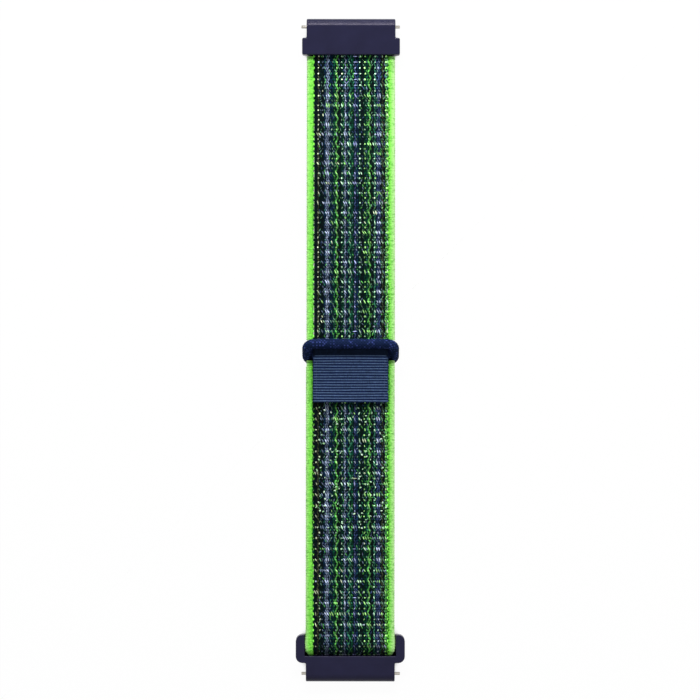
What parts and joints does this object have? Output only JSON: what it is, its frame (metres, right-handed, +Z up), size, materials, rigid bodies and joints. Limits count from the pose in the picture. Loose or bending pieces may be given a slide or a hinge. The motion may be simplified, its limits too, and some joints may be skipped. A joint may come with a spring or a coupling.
{
  "type": "watch strap",
  "caption": "Hook and loop watch strap with a sleeved keeper ring, pull tab and quick-release spring bars in two lug connectors.",
  "frame": {"origin": "on the table, under the middle of the strap as it lies open", "axes": "+Y along the strap towards the upper lug connector, +Z up from the table, +X to the right"},
  "size_m": [0.027, 0.1642, 0.0088],
  "materials": {
    "moulded_navy": "satin moulded nylon",
    "bar_steel": "drawn stainless steel",
    "spring_steel": "spring wire",
    "woven_face": "striped jacquard weave of nylon yarn",
    "looped_lining": "soft looped pile",
    "neon_edge": "neon selvedge yarn",
    "knitted_sleeve": "tight navy knit",
    "ring_core": "moulded core",
    "ribbed_ribbon": "ribbed ribbon",
    "hook_tape": "moulded hooks on a woven base",
    "seam_thread": "twisted polyester thread"
  },
  "bodies": {
    "short_strap": {"short_strap_face": "woven_face", "short_strap_lining": "looped_lining", "short_strap_edge_left": "neon_edge", "short_strap_edge_right": "neon_edge", "ring_fold_seam_thread": "seam_thread", "bar_fold_seam_thread": "seam_thread"},
    "long_strap": {"long_strap_face": "woven_face", "long_strap_lining": "looped_lining", "long_strap_edge_left": "neon_edge", "long_strap_edge_right": "neon_edge", "pull_tab_cover": "ribbed_ribbon", "hook_patch": "hook_tape", "tab_seam_thread": "seam_thread", "upper_lug_connector": "moulded_navy", "strap_retainer_rod": "bar_steel", "upper_spring_bar_tube": "bar_steel", "upper_fixed_tip": "bar_steel", "upper_spring": "spring_steel"},
    "upper_release": {"upper_release_tip": "bar_steel", "upper_release_knob": "bar_steel"},
    "keeper_ring": {"keeper_ring_wire": "ring_core", "keeper_ring_sleeve": "knitted_sleeve"},
    "lower_connector": {"lower_lug_connector": "moulded_navy", "lower_spring_bar_tube": "bar_steel", "lower_fixed_tip": "bar_steel", "lower_spring": "spring_steel"},
    "lower_release": {"lower_release_tip": "bar_steel", "lower_release_knob": "bar_steel"}
  },
  "joints": [
    {"name": "tighten", "type": "slide", "parent": "short_strap", "child": "long_strap", "axis": [0, -1, 0], "range_m": [0, 0.034], "deforming": ["long_strap_edge_left", "long_strap_edge_right"]},
    {"name": "keeper_ring_tilt", "type": "hinge", "parent": "short_strap", "child": "keeper_ring", "pos_m": [0, -0.0026, 0.002], "axis": [1, 0, 0], "range_deg": [0, 36]},
    {"name": "lower_connector_swing", "type": "hinge", "parent": "short_strap", "child": "lower_connector", "pos_m": [0, -0.0735, 0.002], "axis": [1, 0, 0], "range_deg": [-80, 80]},
    {"name": "upper_release_press", "type": "slide", "parent": "long_strap", "child": "upper_release", "axis": [1, 0, 0], "range_m": [0, 0.0013], "stiffness_N_per_m": 300, "springref_m": -0.002, "deforming": ["upper_spring"]},
    {"name": "lower_release_press", "type": "slide", "parent": "lower_connector", "child": "lower_release", "axis": [-1, 0, 0], "range_m": [0, 0.0013], "stiffness_N_per_m": 300, "springref_m": -0.002, "deforming": ["lower_spring"]}
  ]
}
